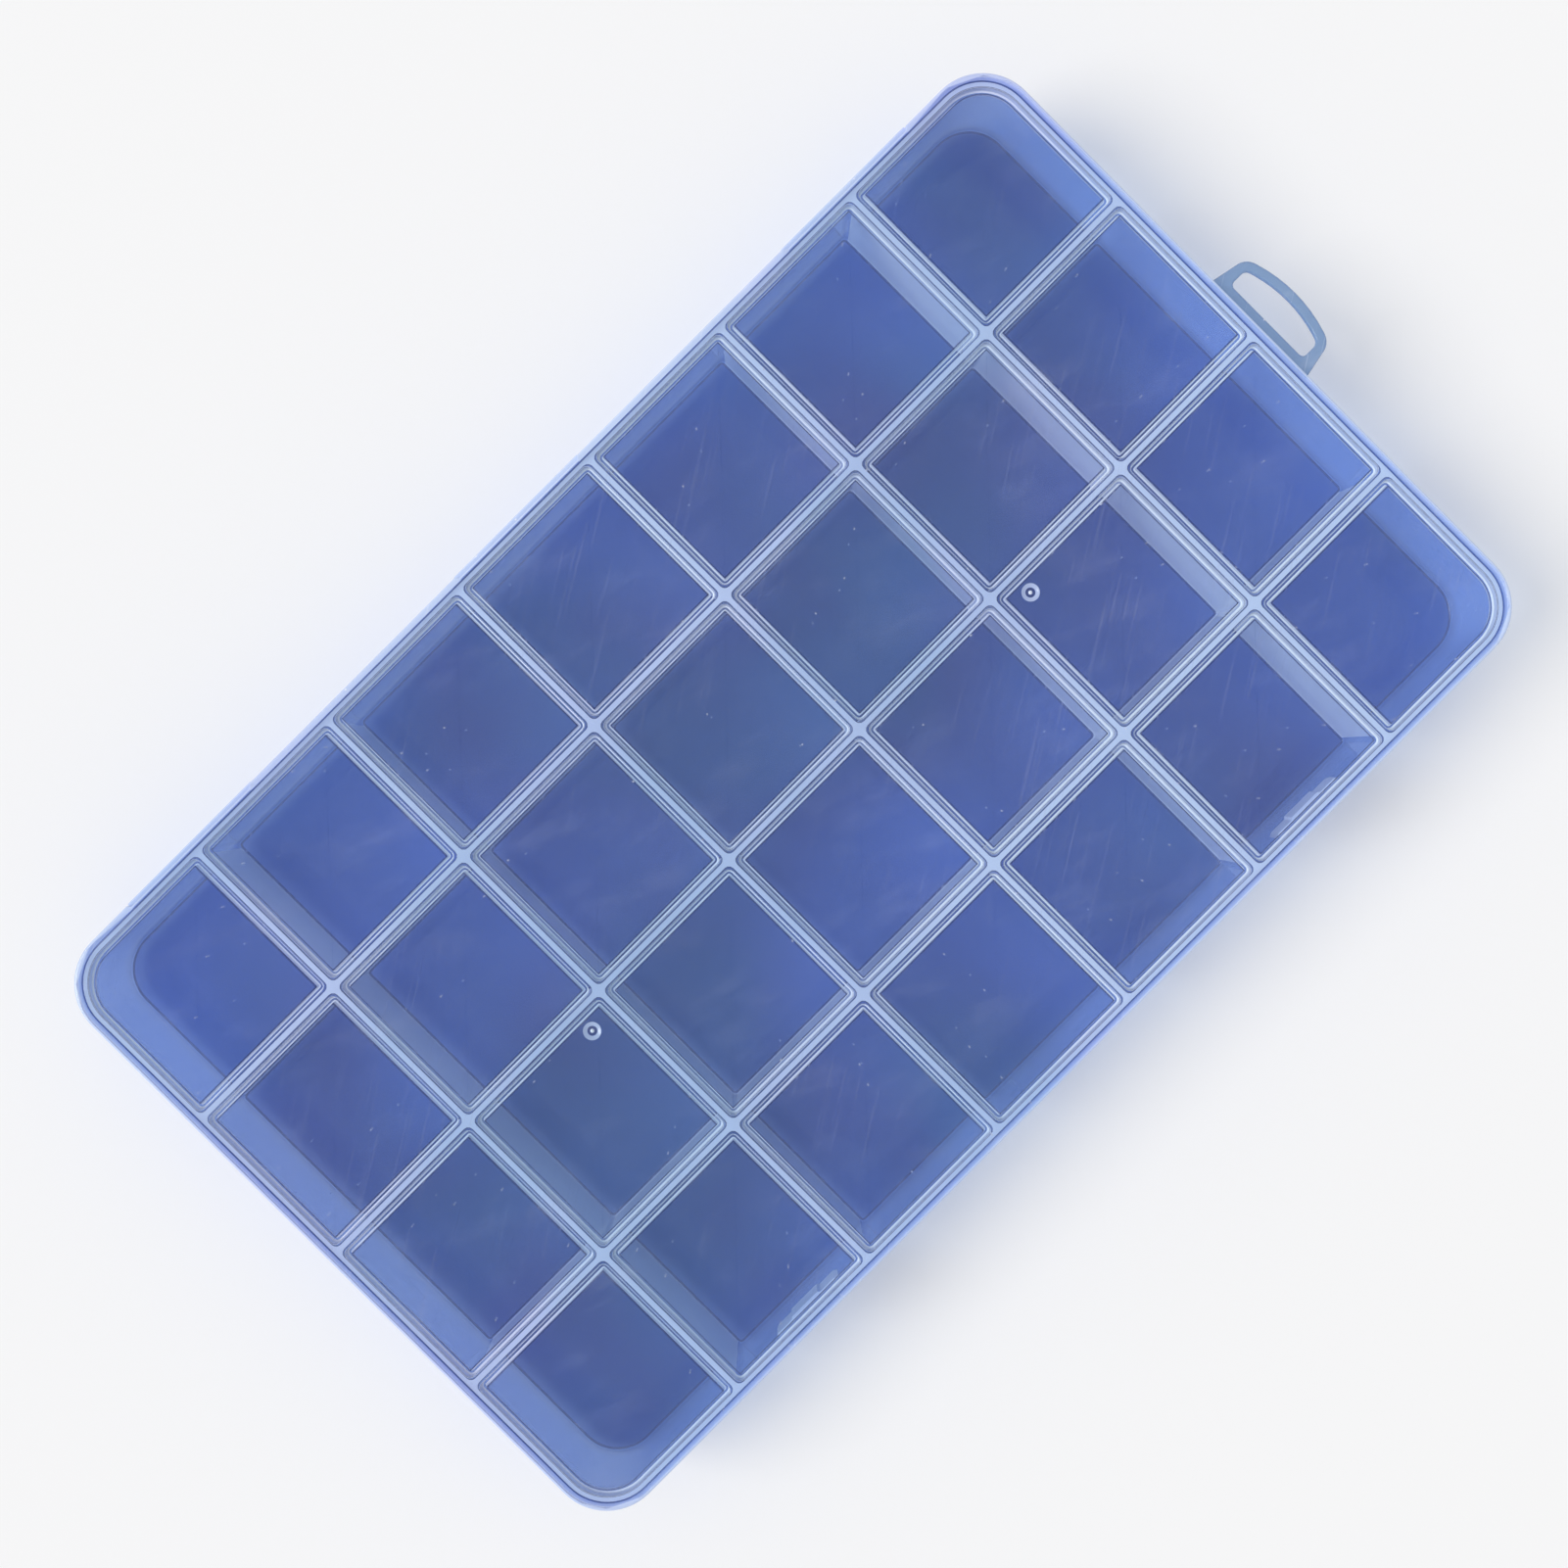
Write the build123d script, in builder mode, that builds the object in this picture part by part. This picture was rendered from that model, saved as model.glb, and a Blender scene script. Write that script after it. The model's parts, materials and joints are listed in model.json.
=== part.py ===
from build123d import *
import os

os.makedirs("parts", exist_ok=True)

# Flat box of clear plastic with fixed compartments, a hinged lid, two snap latches and a hanging loop.
# The origin is at the middle of the underside. X runs along the box towards the hanging loop,
# Y runs from the latches at the front to the hinge at the back, and Z is up. Sizes are in millimetres.

# Compartments
columns = 7
rows = 4
column_pitch = 30.9
row_pitch = 31.85
compartment_depth = 20.5

# Tray
floor_thickness = 1.2
wall_thickness = 1.0
divider_thickness = 1.2
rim_width = 1.85            # from the outermost grid line of the compartments to the edge of the lid
corner_radius = 10.0        # of the lid and the rim, in plan
foot_edge_radius = 0.8
rim_thickness = 1.2
lip_height = 0.6            # of the wall above the rim

# Lid
panel_thickness = 1.2
panel_gap = 0.1             # from the walls and dividers to the panel
panel_edge_radius = 0.5
skirt_thickness = 0.9
skirt_gap = 0.1             # from the wall to the skirt
rim_gap = 0.05              # from the rim to the skirt
rib_thickness = 0.95
rib_depth = 1.5
rib_wall_gap = 0.1
rib_divider_gap = 0.3
rib_corner_radius = 1.0
gate_set_in = 25.55         # moulding gate marks on top of the lid, from the outermost cross dividers
gate_y = -4.0
gate_diameter = 3.1
gate_depth = 0.3
gate_nub_diameter = 0.9
gate_nub_height = 0.2

# Living hinge: three stations along the back, each folding about a thin round web
station_length = 29.0
station_recess = 0.6        # how far the panel and the underside of the rim stand back there
station_shoulder = 0.6      # slope at the ends of the recess
leaf_end_gap = 0.05
hinge_offset = 0.1          # from the edge of the lid to the hinge axis
web_radius = 0.3
web_clearance = 0.05

# Snap latches along the front
latch_set_in = 17.05        # from the outermost cross dividers
tongue_width = 12.0
tongue_length = 8.2
tongue_corner_radius = 2.5
tongue_root_gap = 0.05
notch_gap = 0.3             # from the tongue to the sides of its notch in the rim
hook_width = 9.0
hook_depth = 0.65
hook_height = 1.6
hook_gap = 0.1              # from the hook to the ceiling of the recess
recess_drop = 5.5           # from the top of the wall to the ceiling of the recess
recess_height = 6.0
recess_length = 14.8
recess_depth = 1.1
recess_taper = 0.8
recess_middle_length = 6.8
recess_middle_depth = 0.35  # beyond the rest of the recess

# Hanging loop at the end of the box
loop_thickness = 1.2
loop_base_width = 22.8
loop_tip_width = 19.9
loop_side_length = 7.0
loop_bow = 1.9
loop_bar_width = 2.1
loop_hole_width = 17.2
loop_hole_side_length = 3.6
loop_hole_bow = 1.5
loop_corner_radius = 1.5
loop_hole_corner_radius = 0.9

# Plan sizes that follow
length = columns * column_pitch + 2 * rim_width
width = rows * row_pitch + 2 * rim_width
wall_inset = skirt_thickness + skirt_gap
wall_length = length - 2 * wall_inset
wall_width = width - 2 * wall_inset
wall_radius = corner_radius - wall_inset
inner_length = wall_length - 2 * wall_thickness
inner_width = wall_width - 2 * wall_thickness
inner_radius = wall_radius - wall_thickness
long_wall = wall_length - 2 * wall_radius
end_wall = wall_width - 2 * wall_radius

# Heights that follow
tray_height = floor_thickness + compartment_depth
rim_top = tray_height - lip_height
rim_bottom = rim_top - rim_thickness
skirt_bottom = rim_top + rim_gap
panel_bottom = tray_height + panel_gap
lid_top = panel_bottom + panel_thickness
rib_bottom = panel_bottom - rib_depth
leaf_thickness = panel_bottom - skirt_bottom
recess_top = tray_height - recess_drop
recess_bottom = recess_top - recess_height

# Hinge axis, and the places of hinge stations, latches and gate marks along the box
hinge_y = width / 2 + hinge_offset
hinge_z = rim_top + rim_gap / 2
leaf_tip = hinge_y - leaf_end_gap
outer_divider_x = (columns / 2 - 1) * column_pitch
latch_x = outer_divider_x - latch_set_in
gate_x = outer_divider_x - gate_set_in
stations = {"left": -outer_divider_x, "centre": 0.0, "right": outer_divider_x}
latches = {"left": -latch_x, "right": latch_x}


def compartment_span(index, count, pitch, inner_size, wall_gap, divider_gap):
    """Low and high edge of one compartment, set in from its walls and dividers."""
    set_in = divider_thickness / 2 + divider_gap
    low = (index - count / 2) * pitch + set_in
    high = (index + 1 - count / 2) * pitch - set_in
    if index == 0:
        low = -inner_size / 2 + wall_gap
    if index == count - 1:
        high = inner_size / 2 - wall_gap
    return low, high


def recess_points(x_middle, y_face, inset):
    """Plan of a latch recess, from the given face of the front wall inwards."""
    half = recess_length / 2 - inset
    middle = recess_middle_length / 2
    back = y_face + recess_depth
    deepest = back + recess_middle_depth
    right_side = [
        (half, y_face),
        (half - recess_taper, back),
        (middle, back),
        (middle - recess_middle_depth, deepest),
    ]
    points = [(x_middle + x, y) for x, y in right_side]
    points += [(x_middle - x, y) for x, y in reversed(right_side)]
    return points


def station_points(x_middle, y_edge, depth):
    """Plan of the recess at a hinge station, with sloping ends, from the edge towards the box."""
    half = station_length / 2
    outside = y_edge + hinge_offset + web_radius
    return [
        (x_middle - half, outside),
        (x_middle - half, y_edge),
        (x_middle - half + station_shoulder, y_edge - depth),
        (x_middle + half - station_shoulder, y_edge - depth),
        (x_middle + half, y_edge),
        (x_middle + half, outside),
    ]


# Tray floor
with BuildPart() as tray_floor:
    with BuildSketch() as floor_plan:
        RectangleRounded(wall_length, wall_width, wall_radius)
    extrude(amount=floor_thickness)
    fillet(tray_floor.faces().sort_by(Axis.Z)[0].edges(), radius=foot_edge_radius)

tray_floor.part.label = "tray_floor"
export_step(tray_floor.part, "parts/tray_floor.step")

# Walls of the tray: front and back, left and right end, and the four rounded corners
for name, side in {"front_wall": -1, "back_wall": 1}.items():
    with BuildPart(Plane.XY.offset(floor_thickness)) as wall:
        with Locations((0, side * (wall_width - wall_thickness) / 2)):
            Box(long_wall, wall_thickness, compartment_depth, align=(Align.CENTER, Align.CENTER, Align.MIN))
        # Window in the front wall for the hook of each latch
        if name == "front_wall":
            with BuildSketch(Plane.XY.offset(recess_bottom)) as window_plan:
                for x in latches.values():
                    with BuildLine():
                        Polyline(*recess_points(x, -wall_width / 2, wall_thickness), close=True)
                    make_face()
            extrude(amount=recess_height, mode=Mode.SUBTRACT)
    wall.part.label = name
    export_step(wall.part, f"parts/{name}.step")

for name, side in {"left_wall": -1, "right_wall": 1}.items():
    with BuildPart(Plane.XY.offset(floor_thickness)) as wall:
        with Locations((side * (wall_length - wall_thickness) / 2, 0)):
            Box(wall_thickness, end_wall, compartment_depth, align=(Align.CENTER, Align.CENTER, Align.MIN))
    wall.part.label = name
    export_step(wall.part, f"parts/{name}.step")

with BuildPart() as corner_walls:
    with BuildSketch(Plane.XY.offset(floor_thickness)) as corner_plan:
        RectangleRounded(wall_length, wall_width, wall_radius)
        RectangleRounded(inner_length, inner_width, inner_radius, mode=Mode.SUBTRACT)
        Rectangle(long_wall, wall_width, mode=Mode.SUBTRACT)
        Rectangle(wall_length, end_wall, mode=Mode.SUBTRACT)
    extrude(amount=compartment_depth)

corner_walls.part.label = "corner_walls"
export_step(corner_walls.part, "parts/corner_walls.step")

# Rim round the walls, which carries the lid, with the tray leaves of the hinge
with BuildPart() as tray_rim:
    with BuildSketch(Plane.XY.offset(rim_bottom)) as rim_plan:
        RectangleRounded(length, width, corner_radius)
        for x in stations.values():
            with Locations((x, leaf_tip / 2)):
                Rectangle(station_length, leaf_tip)
        RectangleRounded(wall_length, wall_width, wall_radius, mode=Mode.SUBTRACT)
    extrude(amount=rim_thickness)
    # The rim is thinner at the hinge stations, where it becomes the lower leaf
    with BuildSketch(Plane.XY.offset(rim_bottom)) as leaf_relief_plan:
        for x in stations.values():
            with BuildLine():
                Polyline(*station_points(x, width / 2, station_recess), close=True)
            make_face()
    extrude(amount=rim_thickness - leaf_thickness, mode=Mode.SUBTRACT)
    # Seat of each hinge web
    for x in stations.values():
        with Locations(Plane(origin=(x, hinge_y, hinge_z), z_dir=(1, 0, 0))):
            Cylinder(radius=web_radius, height=station_length, mode=Mode.SUBTRACT)
    # Notches that let the latch tongues through
    with BuildSketch(Plane.XY.offset(rim_bottom)) as notch_plan:
        for x in latches.values():
            with Locations((x, -width / 2)):
                Rectangle(tongue_width + 2 * notch_gap, 2 * wall_inset)
    extrude(amount=rim_thickness, mode=Mode.SUBTRACT)

tray_rim.part.label = "tray_rim"
export_step(tray_rim.part, "parts/tray_rim.step")

# Catch of each latch: it bulges inwards behind the window and closes the recess for the hook
for side, x in latches.items():
    with BuildPart() as latch_catch:
        with BuildSketch(Plane.XY.offset(recess_bottom - wall_thickness)) as bulge_plan:
            with BuildLine():
                Polyline(*recess_points(x, -inner_width / 2, 0), close=True)
            make_face()
        extrude(amount=recess_height + 2 * wall_thickness)
        with BuildSketch(Plane.XY.offset(recess_bottom)) as recess_plan:
            with BuildLine():
                Polyline(*recess_points(x, -wall_width / 2, wall_thickness), close=True)
            make_face()
        extrude(amount=recess_height, mode=Mode.SUBTRACT)
    latch_catch.part.label = f"latch_catch_{side}"
    export_step(latch_catch.part, f"parts/latch_catch_{side}.step")

# Dividers along the box, one between each two rows, numbered from the front
for line in range(1, rows):
    y_line = (line - rows / 2) * row_pitch
    with BuildPart(Plane.XY.offset(floor_thickness)) as long_divider:
        with Locations((0, y_line)):
            Box(
                inner_length,
                divider_thickness,
                compartment_depth,
                align=(Align.CENTER, Align.CENTER, Align.MIN),
            )
    long_divider.part.label = f"long_divider_{line}"
    export_step(long_divider.part, f"parts/long_divider_{line}.step")

# Dividers across the box, each in one stretch per row, numbered from the end without the loop
for line in range(1, columns):
    x_line = (line - columns / 2) * column_pitch
    with BuildPart(Plane.XY.offset(floor_thickness)) as cross_divider:
        for row in range(rows):
            y_low, y_high = compartment_span(row, rows, row_pitch, inner_width, 0, 0)
            with Locations((x_line, y_low)):
                Box(
                    divider_thickness,
                    y_high - y_low,
                    compartment_depth,
                    align=(Align.CENTER, Align.MIN, Align.MIN),
                )
    cross_divider.part.label = f"cross_divider_{line}"
    export_step(cross_divider.part, f"parts/cross_divider_{line}.step")

# Hanging loop on the end of the rim
with BuildPart() as hang_loop:
    with BuildSketch(Plane.XY.offset(rim_top - loop_thickness)) as loop_plan:
        loop_start = length / 2
        loop_side_end = loop_start + loop_side_length
        with BuildLine():
            Line((loop_start, -loop_base_width / 2), (loop_side_end, -loop_tip_width / 2))
            ThreePointArc(
                (loop_side_end, -loop_tip_width / 2),
                (loop_side_end + loop_bow, 0),
                (loop_side_end, loop_tip_width / 2),
            )
            Line((loop_side_end, loop_tip_width / 2), (loop_start, loop_base_width / 2))
            Line((loop_start, loop_base_width / 2), (loop_start, -loop_base_width / 2))
        make_face()
        fillet(loop_plan.vertices().group_by(Axis.X)[-1], radius=loop_corner_radius)
    with BuildSketch(Plane.XY.offset(rim_top - loop_thickness), mode=Mode.PRIVATE) as hole_plan:
        hole_start = loop_start + loop_bar_width
        hole_side_end = hole_start + loop_hole_side_length
        with BuildLine():
            Line((hole_start, -loop_hole_width / 2), (hole_side_end, -loop_hole_width / 2))
            ThreePointArc(
                (hole_side_end, -loop_hole_width / 2),
                (hole_side_end + loop_hole_bow, 0),
                (hole_side_end, loop_hole_width / 2),
            )
            Line((hole_side_end, loop_hole_width / 2), (hole_start, loop_hole_width / 2))
            Line((hole_start, loop_hole_width / 2), (hole_start, -loop_hole_width / 2))
        make_face()
        fillet(hole_plan.vertices(), radius=loop_hole_corner_radius)
    extrude(loop_plan.sketch, amount=loop_thickness)
    extrude(hole_plan.sketch, amount=loop_thickness, mode=Mode.SUBTRACT)

hang_loop.part.label = "hang_loop"
export_step(hang_loop.part, "parts/hang_loop.step")

# Thin round web of each hinge station, on the hinge axis
for side, x in stations.items():
    with BuildPart(Plane(origin=(x, hinge_y, hinge_z), z_dir=(1, 0, 0))) as hinge_web:
        Cylinder(radius=web_radius, height=station_length)
    hinge_web.part.label = f"hinge_web_{side}"
    export_step(hinge_web.part, f"parts/hinge_web_{side}.step")

# Lid panel with rounded edge, set back at the hinge stations, and two gate marks
with BuildPart() as lid_panel:
    with BuildSketch(Plane.XY.offset(panel_bottom)) as panel_plan:
        RectangleRounded(length, width, corner_radius)
    extrude(amount=panel_thickness)
    fillet(lid_panel.faces().sort_by(Axis.Z)[-1].edges(), radius=panel_edge_radius)
    with BuildSketch(Plane.XY.offset(panel_bottom)) as station_plan:
        for x in stations.values():
            with BuildLine():
                Polyline(*station_points(x, width / 2, station_recess), close=True)
            make_face()
    extrude(amount=panel_thickness, mode=Mode.SUBTRACT)
    with BuildSketch(Plane.XY.offset(lid_top - gate_depth)) as gate_plan:
        with Locations((-gate_x, gate_y), (gate_x, gate_y)):
            Circle(gate_diameter / 2)
    extrude(amount=gate_depth, mode=Mode.SUBTRACT)
    with BuildSketch(Plane.XY.offset(lid_top - gate_depth)) as nub_plan:
        with Locations((-gate_x, gate_y), (gate_x, gate_y)):
            Circle(gate_nub_diameter / 2)
    extrude(amount=gate_nub_height)

lid_panel.part.label = "lid_panel"
export_step(lid_panel.part, "parts/lid_panel.step")

# Lid skirt, which rests on the rim, with the lid leaves of the hinge
with BuildPart() as lid_skirt:
    with BuildSketch(Plane.XY.offset(skirt_bottom)) as skirt_plan:
        RectangleRounded(length, width, corner_radius)
        for x in stations.values():
            with Locations((x, leaf_tip / 2)):
                Rectangle(station_length, leaf_tip)
        RectangleRounded(
            length - 2 * skirt_thickness,
            width - 2 * skirt_thickness,
            corner_radius - skirt_thickness,
            mode=Mode.SUBTRACT,
        )
    extrude(amount=leaf_thickness)
    for x in stations.values():
        with Locations(Plane(origin=(x, hinge_y, hinge_z), z_dir=(1, 0, 0))):
            Cylinder(radius=web_radius + web_clearance, height=station_length, mode=Mode.SUBTRACT)

lid_skirt.part.label = "lid_skirt"
export_step(lid_skirt.part, "parts/lid_skirt.step")

# Ribs under the lid: one closed ring that reaches into the mouth of each compartment
with BuildPart() as lid_ribs:
    for column in range(columns):
        x_low, x_high = compartment_span(
            column, columns, column_pitch, inner_length, rib_wall_gap, rib_divider_gap
        )
        for row in range(rows):
            y_low, y_high = compartment_span(row, rows, row_pitch, inner_width, rib_wall_gap, rib_divider_gap)
            at_corner = column in (0, columns - 1) and row in (0, rows - 1)
            with BuildSketch(Plane.XY.offset(rib_bottom)) as ring_plan:
                with Locations(((x_low + x_high) / 2, (y_low + y_high) / 2)):
                    Rectangle(x_high - x_low, y_high - y_low)
                corners = ring_plan.vertices().sort_by_distance((0, 0, rib_bottom))
                if at_corner:
                    fillet(corners[-1], radius=inner_radius - rib_wall_gap)
                    corners = ring_plan.vertices().sort_by_distance((0, 0, rib_bottom))[:3]
                fillet(corners, radius=rib_corner_radius)
                offset(amount=-rib_thickness, mode=Mode.SUBTRACT)
            extrude(amount=rib_depth)

lid_ribs.part.label = "lid_ribs"
export_step(lid_ribs.part, "parts/lid_ribs.step")

# Snap latches: a tongue that hangs from the front edge of the lid, with a hook behind it
for side, x in latches.items():
    tongue_top = skirt_bottom - tongue_root_gap
    tongue_back = -width / 2 + skirt_thickness
    hook_top = recess_top - hook_gap
    with BuildPart() as latch:
        with BuildSketch(Plane.XZ.offset(width / 2)) as tongue_front:
            with Locations((x, tongue_top - tongue_length / 2)):
                Rectangle(tongue_width, tongue_length)
            fillet(tongue_front.vertices().group_by(Axis.Z)[0], radius=tongue_corner_radius)
        extrude(amount=-skirt_thickness)
        with BuildSketch(Plane.YZ.offset(x - hook_width / 2)) as hook_side:
            with BuildLine():
                Polyline(
                    (tongue_back, hook_top),
                    (tongue_back + hook_depth, hook_top),
                    (tongue_back, hook_top - hook_height),
                    close=True,
                )
            make_face()
        extrude(amount=hook_width)
    latch.part.label = f"latch_{side}"
    export_step(latch.part, f"parts/latch_{side}.step")
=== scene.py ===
"""Looks of a clear compartment organizer box.

A tray shell, a lid shell, two snap tongues and the straps of the living hinge stand for the nodes
of the CAD frame, on a plain stage.
"""

import json
import math

import bmesh
import bpy
from bpy.props import FloatProperty, FloatVectorProperty, PointerProperty
from mathutils import Euler, Matrix, Vector

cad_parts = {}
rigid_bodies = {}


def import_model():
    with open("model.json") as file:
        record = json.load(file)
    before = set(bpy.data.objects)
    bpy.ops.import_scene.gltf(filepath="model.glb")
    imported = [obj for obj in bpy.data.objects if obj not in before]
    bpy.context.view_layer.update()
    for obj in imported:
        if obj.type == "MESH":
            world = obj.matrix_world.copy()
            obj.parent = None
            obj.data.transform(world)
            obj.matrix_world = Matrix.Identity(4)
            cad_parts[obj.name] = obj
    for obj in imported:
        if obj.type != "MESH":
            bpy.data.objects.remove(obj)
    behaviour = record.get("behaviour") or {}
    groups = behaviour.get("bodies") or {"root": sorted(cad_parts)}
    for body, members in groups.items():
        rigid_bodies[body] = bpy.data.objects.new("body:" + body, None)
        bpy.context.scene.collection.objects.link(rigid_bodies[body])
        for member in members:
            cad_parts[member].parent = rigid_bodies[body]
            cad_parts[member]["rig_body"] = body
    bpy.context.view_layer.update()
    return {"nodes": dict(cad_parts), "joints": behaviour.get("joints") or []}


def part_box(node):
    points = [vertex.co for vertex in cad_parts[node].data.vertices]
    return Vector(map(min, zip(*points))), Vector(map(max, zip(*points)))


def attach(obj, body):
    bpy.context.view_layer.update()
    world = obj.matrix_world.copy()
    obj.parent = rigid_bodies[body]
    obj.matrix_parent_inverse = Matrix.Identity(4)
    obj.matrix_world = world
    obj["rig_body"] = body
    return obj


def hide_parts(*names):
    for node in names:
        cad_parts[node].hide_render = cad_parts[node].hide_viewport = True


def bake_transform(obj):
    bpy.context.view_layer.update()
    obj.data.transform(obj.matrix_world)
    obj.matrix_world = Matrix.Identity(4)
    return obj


bl_info = {
    "name": "Compartment Organizer Box",
    "version": (1, 0, 0),
    "blender": (4, 5, 0),
    "location": "View3D > Sidebar > Organizer Box",
    "description": "Builds the looks of a clear plastic box with fixed compartments around its CAD frame",
    "category": "Add Mesh",
}

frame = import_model()

MM = 0.001
X, Y, Z = 0, 1, 2

# Places nearer than SAME are one place, and a face on a level may lie about a HAIR off it
SAME = 0.001 * MM
HAIR = 0.01 * MM

# The part of a face's direction along an axis: above FLAT it faces that way, below STEEP it faces across
FLAT = 0.97
STEEP = 0.2

# Steps in a rounded section, and in upright corners by their size
ARC_STEPS = 3
POCKET_ARC_STEPS = 4
WIDE_ARC_STEPS = 5
LARGE_CORNER_STEPS = 14
TONGUE_CORNER_STEPS = 8
LOOP_CORNER_STEPS = 5
SMALL_CORNER_STEPS = 3
LARGE_RADIUS = 2 * MM
BOW_STEPS = 10
STRAP_STEPS = 12
GATE_SEGMENTS = 28

# Patterns in the plastic and its painted glints: sizes, turns in degrees, and how strongly each shows
SMUDGE_SIZE = 50 * MM
# Painted glints: large patches of paler haze of about this size, standing in for light caught in the plastic
GLINT_PATCH_SIZE = 70 * MM
CLOUD_SIZE = 6 * MM
SMEAR_SIZE = 7 * MM
SMEAR_TURN = -20
SMEAR_STRETCH = 2.5
SMEAR_STRENGTH = 0.04
SCRATCH_WIDTH = 0.4 * MM
SCRATCH_LENGTH = 20 * MM
SCRATCH_TURN = 32
SCRATCH_SELDOM = 0.72
SCRATCH_STRENGTH = 0.05
SPECK_SPACING = 8 * MM
SPECK_RADIUS = 0.2 * MM
SPECK_SHARE = 0.2
SPECK_STRENGTH = 0.2
DUST = (0.85, 0.88, 0.97)
RIPPLE_HEIGHT = 0.3 * MM
RIPPLE_STRENGTH = 0.08
PLASTIC_IOR = 1.49
GLOSS_ROUGHNESS = 0.02
FACE_ON_GLOSS = 0.02

# A ray meets many clear surfaces, one after the other
CLEAR_SURFACES = 64


def span(node, axis):
    """Lowest and highest place of a CAD node along one axis."""
    low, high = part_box(node)
    return low[axis], high[axis]


def middle(node):
    """Middle of a CAD node's box."""
    low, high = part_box(node)
    return (low + high) / 2


def nodes_named(start):
    """Names of the CAD nodes that start with some letters, in order."""
    return sorted(name for name in frame["nodes"] if name.startswith(start))


def cells_between(first, dividers, last):
    """Low and high edge of each compartment along a row, from the walls and dividers around it."""
    edges = [first] + [edge for divider in sorted(dividers) for edge in divider] + [last]
    return list(zip(edges[0::2], edges[1::2]))


# Places that the frame gives
WALL_LOW = Vector((span("left_wall", X)[0], span("front_wall", Y)[0]))
WALL_HIGH = Vector((span("right_wall", X)[1], span("back_wall", Y)[1]))
INNER_LOW = Vector((span("left_wall", X)[1], span("front_wall", Y)[1]))
INNER_HIGH = Vector((span("right_wall", X)[0], span("back_wall", Y)[0]))
WALL_RADIUS = WALL_HIGH.x - span("front_wall", X)[1]
INNER_RADIUS = WALL_RADIUS - (WALL_HIGH.x - INNER_HIGH.x)
COLUMN_CELLS = cells_between(INNER_LOW.x, [span(n, X) for n in nodes_named("cross_divider")], INNER_HIGH.x)
ROW_CELLS = cells_between(INNER_LOW.y, [span(n, Y) for n in nodes_named("long_divider")], INNER_HIGH.y)
FLOOR_TOP = span("tray_floor", Z)[1]
TRAY_TOP = span("front_wall", Z)[1]
RIM_LOW, RIM_TOP = span("tray_rim", Z)
LID_LOW, LID_HIGH = (corner.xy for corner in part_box("lid_panel"))
LID_RADIUS = WALL_RADIUS + LID_HIGH.x - WALL_HIGH.x
PANEL_LOW, LID_TOP = span("lid_panel", Z)
SKIRT_LOW = span("lid_skirt", Z)[0]
RIB_LOW = span("lid_ribs", Z)[0]
RIB_WALL_GAP = INNER_HIGH.x - span("lid_ribs", X)[1]
HINGE = next(Vector(j["pos_m"]) for j in frame["joints"] if j["name"] == "lid_hinge")
STATIONS = {name: span(name, X) for name in nodes_named("hinge_web")}
LATCHES = {name: span(name, X) for name in nodes_named("latch_") if "catch" not in name}


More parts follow.
